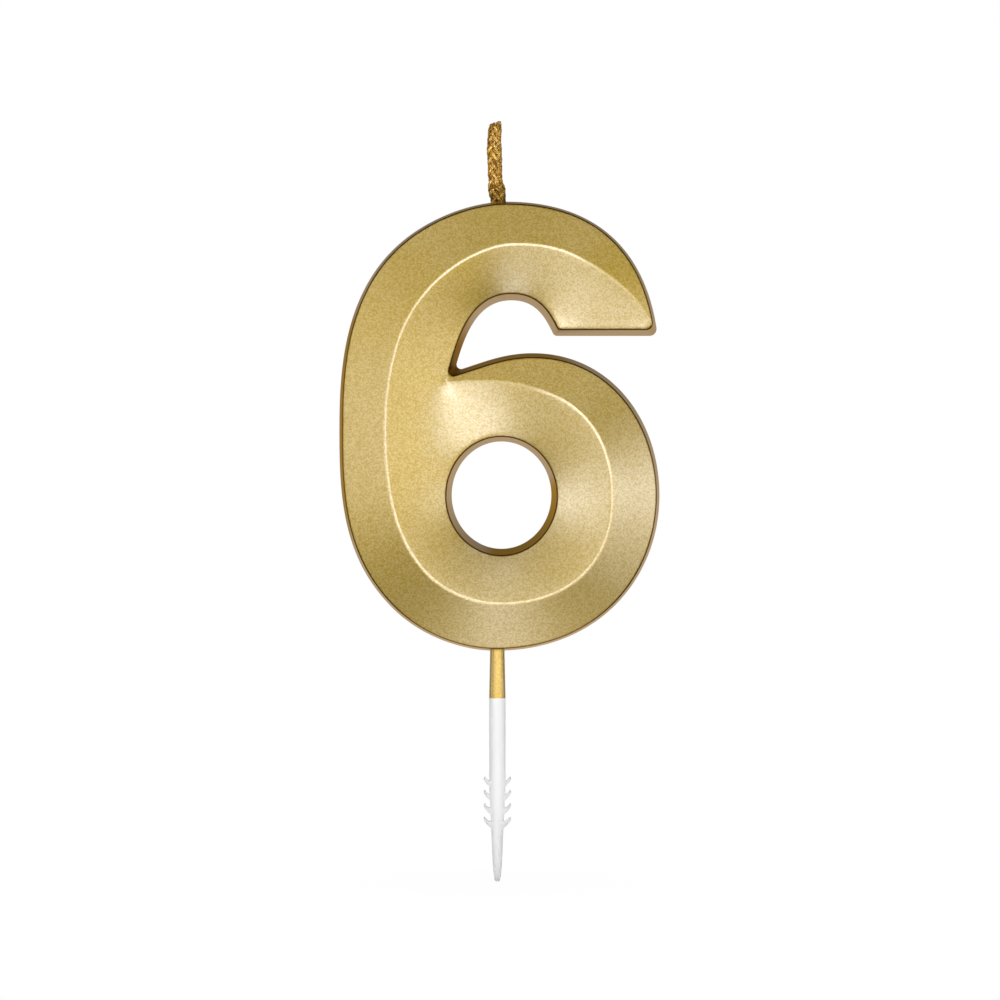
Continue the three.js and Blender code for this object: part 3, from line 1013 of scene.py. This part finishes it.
def shades(colour, amount):
    """A colour made lighter or darker by a field that stays near 1."""
    tree = amount.tree
    grey = add_node(tree, "CombineXYZ", {}, {0: amount, 1: amount, 2: amount})
    return add_node(tree, "VectorMath", {"operation": "MULTIPLY"}, {0: colour, 1: grey})


class Look:
    """A material on one shader, whose sockets take plain values or fields."""

    def __init__(self, name):
        self.material = bpy.data.materials.new(name)
        self.material.use_nodes = True
        self.tree = self.material.node_tree
        self.shader = self.tree.nodes["Principled BSDF"]
        self.place = add_node(self.tree, "TexCoord", {}, {}, "Object")
        self.facing = add_node(self.tree, "TexCoord", {}, {}, "Normal")

    def set(self, **values):
        """Sets the shader's sockets, named in small letters."""
        for name, value in values.items():
            socket = self.shader.inputs[name.replace("_", " ").title().replace("Ior", "IOR")]
            if isinstance(value, Field):
                self.tree.links.new(value.socket, socket)
            else:
                socket.default_value = (*value, 1) if socket.type == "RGBA" else value

    def bump(self, height, depth):
        """A height field from 0 to 1 raised to some depth, in millimetres."""
        sockets = {"Height": height, "Distance": depth * MM, "Strength": 1}
        return add_node(self.tree, "Bump", {}, sockets)


def gold_lacquer():
    """Satin gold lacquer with fine flake: pale and glossy on the face, deeper on the walls, with
    painted shade round the face's edge, in the notch and on the walls that face up, and painted
    warm light on the upper left slopes.
    """
    look = Look("gold_lacquer")
    across, depth, height = (look.place.part(axis) for axis in "XYZ")
    rightward, backward, upward = (look.facing.part(axis) for axis in "XYZ")
    forward = 0 - backward
    face = forward.between(0.68, 0.9)
    back = backward.between(0.6, 0.9)
    # Painted shade: round the face's edge, and a little way down the wall, the lacquer is painted
    # dark
    painted_edge_shade = forward.between(0.1, 0.2).or_more((0 - depth).past(edge_shade_depths) * 0.7)
    flake = look.place.cells(flake_size)
    grain = look.place.noise(grain_size)
    cloud = look.place.noise(cloud_size)
    speckle = (grain + flake * 0.3).between(0.42, 0.88)
    # Partly the lacquer's own tone and partly painted warm light: the slopes above and to the left
    # are a richer gold with less gloss, less so where they face down
    sloping = 1 - forward.between(0.965, 0.995)
    overhung = (0 - upward).between(0.05, 0.22) * across.past(arch_middle)
    rich_warm_lit = (height - across * 0.8).past(rich_warm_lit_heights) * sloping * (1 - overhung * 0.75)
    lower = 1 - height.past(lower_heights)
    deep = colour_between(rich_warm_lit, deep_face_gold, deep_rich_warm_lit_gold)
    pale = colour_between(rich_warm_lit, pale_face_gold, pale_rich_warm_lit_gold)
    front = colour_between(speckle, deep, pale)
    # Painted shade: the notch's walls that face right are darker and have no gloss
    notch_shade_area = (1 - across.past(stem_edge)) * height.past(notch_shade_foot) * (1 - height.past(notch_shade_top))
    notch = notch_shade_area * rightward.between(-0.3, 0.5) * (1 - back)
    # Painted shade: the walls that face up and to the left lose their gloss and show darker
    upturned_shade = (upward - rightward).between(0.5, 0.9) * (1 - height.past(upturned_shade_top))
    wall = colour_between(back, colour_between(notch, wall_gold, notch_shade_gold), back_gold)
    lacquer = colour_between(face, colour_between(painted_edge_shade, wall, edge_shade_gold), front)
    face_gloss = face * (flake * 0.35 + 0.65) * (1 - rich_warm_lit * 0.5 - lower * 0.18)
    wall_gloss = (1 - painted_edge_shade) * (1 - upturned_shade.or_more(notch)) * 0.42
    look.set(
        base_color=shades(lacquer, speckle * 0.06 + cloud * 0.06 + 0.94),
        metallic=1,
        roughness=grain * 0.12 + face * 0.14 + 0.36,
        specular_tint=(0.62, 0.4, 0.06),
        coat_weight=face_gloss + wall_gloss,
        coat_roughness=0.34,
        coat_ior=2.47,
        normal=look.bump(grain, 0.012),
    )
    return look.material


def wick_gold():
    """Gold lacquer soaked into the braid's cotton, with painted shade where the wick leaves the wax
    and painted glints.
    """
    look = Look("wick_gold")
    fibre = look.place.scaled(1, 1, 0.35).noise(0.15, 3, 0.65)
    soaked = look.place.scaled(1, 1, 0.6).noise(0.5)
    # Painted shade: the wick is darker where it leaves the wax
    root = 1 - look.place.part("Z").past(root_shade_heights)
    tone = colour_between((soaked + fibre * 0.6).between(0.6, 0.95), deep_gold, bright_gold)
    # Painted highlights: pale, glossier streaks along the fibres
    glint = fibre.between(0.56, 0.68)
    look.set(
        base_color=shades(colour_between(glint * (1 - root), tone, painted_glint_gold), 1 - root * 0.45),
        metallic=0.75,
        roughness=0.5 - glint * 0.2,
        normal=look.bump(fibre, 0.05),
    )
    return look.material


def pick_plastic():
    """White plastic, with the gold overspray that ends at the cake's level."""
    look = Look("pick_plastic")
    sprayed = look.place.part("Z").past(spray_end)
    grain = look.place.noise(0.3, 3, 0.6)
    gold = colour_between(grain.between(0.35, 0.7), deep_spray_gold, pale_spray_gold)
    look.set(
        base_color=colour_between(sprayed, white_plastic, gold),
        metallic=sprayed * 0.95,
        roughness=0.4,
        subsurface_weight=1,
        subsurface_radius=(1, 1, 1),
        subsurface_scale=4 * MM,
        coat_weight=sprayed * 0.5,
        coat_roughness=0.28,
        coat_ior=2.3,
        normal=look.bump(grain, 0.004),
    )
    return look.material


# The pieces

def stand_in_for(node, made):
    """Puts one finished piece in the place of a CAD node, riding the body."""
    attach(made, BODY)
    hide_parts(node)


wax_digit = piece("wax_digit", candle_skin().mesh("wax_digit"), gold_lacquer())
stand_in_for("candle_body", wax_digit)
braided_wick = piece("braided_wick", wick_skin().mesh("braided_wick"), wick_gold())
stand_in_for("wick", braided_wick)
barbed_pick = piece("barbed_pick", pick_mesh(), pick_plastic())
stand_in_for("pick", barbed_pick)


# The studio: a pale floor under the pick's point, white behind, and soft lamps round the front

def studio_camera():
    data = bpy.data.cameras.new("camera")
    data.lens = camera_lens
    data.sensor_width = camera_sensor
    data.clip_start = 0.01
    camera = bpy.data.objects.new("camera", data)
    bpy.context.scene.collection.objects.link(camera)
    camera.location = [size * MM for size in camera_place]
    aim = Vector([size * MM for size in camera_target]) - camera.location
    camera.rotation_euler = aim.to_track_quat("-Z", "Y").to_euler()
    bpy.context.scene.camera = camera


def floor_mesh():
    """A round floor: a middle point and rings of corners round it."""
    ring = around(floor_sides)
    level = (pick_tip - floor_drop) * MM
    points = [(0, 0, level)]
    for radius in floor_radii:
        points += [(radius * math.cos(angle), radius * math.sin(angle), level) for angle in ring]
    faces = []
    for i in range(floor_sides):
        j = (i + 1) % floor_sides
        faces.append((0, 1 + i, 1 + j))
        for k in range(len(floor_radii) - 1):
            first = 1 + k * floor_sides
            beyond = first + floor_sides
            faces.append((first + i, beyond + i, beyond + j, first + j))
    mesh = bpy.data.meshes.new("floor")
    mesh.from_pydata(points, [], faces)
    return mesh


def pale_floor():
    """White to the camera but for a faint shade under the pick, and a pale floor to the light."""
    material = bpy.data.materials.new("pale_floor")
    material.use_nodes = True
    tree = material.node_tree
    shader = tree.nodes["Principled BSDF"]
    shader.inputs["Base Color"].default_value = (*floor_white, 1)
    shader.inputs["Roughness"].default_value = 0.9
    glow = add_node(tree, "Emission", {}, {"Color": (1, 1, 1, 1), "Strength": 1})
    place = add_node(tree, "TexCoord", {}, {}, "Object")
    away = add_node(tree, "VectorMath", {"operation": "LENGTH"}, {0: place}, "Value")
    whiteness = seen_directly(tree) * (away.between(*floor_fade) * 0.03 + 0.97)
    surface = Field(tree, shader.outputs[0])
    mixed = add_node(tree, "MixShader", {}, {0: whiteness, 1: surface, 2: glow})
    tree.links.new(mixed.socket, tree.nodes["Material Output"].inputs["Surface"])
    return material


def seen_directly(tree):
    """1 for what the camera sees, also in metal or through glass, and 0 for light on its way."""
    kinds = ("Camera", "Glossy", "Transmission")
    camera, glossy, through = (
        add_node(tree, "LightPath", {}, {}, f"Is {kind} Ray") for kind in kinds
    )
    return camera.or_more(glossy).or_more(through)


def studio_world():
    """White where the backdrop is, behind the candle, and soft light from elsewhere."""
    world = bpy.data.worlds.new("studio")
    bpy.context.scene.world = world
    world.use_nodes = True
    tree = world.node_tree
    direction = add_node(tree, "TexCoord", {}, {}, "Generated")
    above = direction.part("Z").between(-0.1, 0.4)
    behind = direction.part("Y").between(0.4, 0.9) * (1 - above * 0.7)
    camera_sees = add_node(tree, "LightPath", {}, {}, "Is Camera Ray")
    strength = camera_sees.or_more(behind * (1 - room_light) + room_light)
    background = tree.nodes["Background"]
    background.inputs["Color"].default_value = (1, 1, 1, 1)
    tree.links.new(strength.socket, background.inputs["Strength"])


def soft_lamp(name, off_front, round_it, power):
    """A round lamp a metre away, some degrees off the front and some degrees round it."""
    p, a = math.radians(off_front), math.radians(round_it)
    towards = Vector((math.sin(p) * math.cos(a), -math.cos(p), math.sin(p) * math.sin(a)))
    data = bpy.data.lights.new(name, "AREA")
    data.shape = "DISK"
    data.size = lamp_size
    data.energy = power
    lamp = bpy.data.objects.new(name, data)
    bpy.context.scene.collection.objects.link(lamp)
    lamp.visible_camera = False
    lamp.location = Vector(lamp_target) + towards
    lamp.rotation_euler = (-towards).to_track_quat("-Z", "Y").to_euler()


studio_camera()
floor = piece("floor", floor_mesh(), pale_floor())
studio_world()
for lamp in lamps:
    soft_lamp(*lamp)

bpy.context.scene.view_settings.view_transform = "Standard"
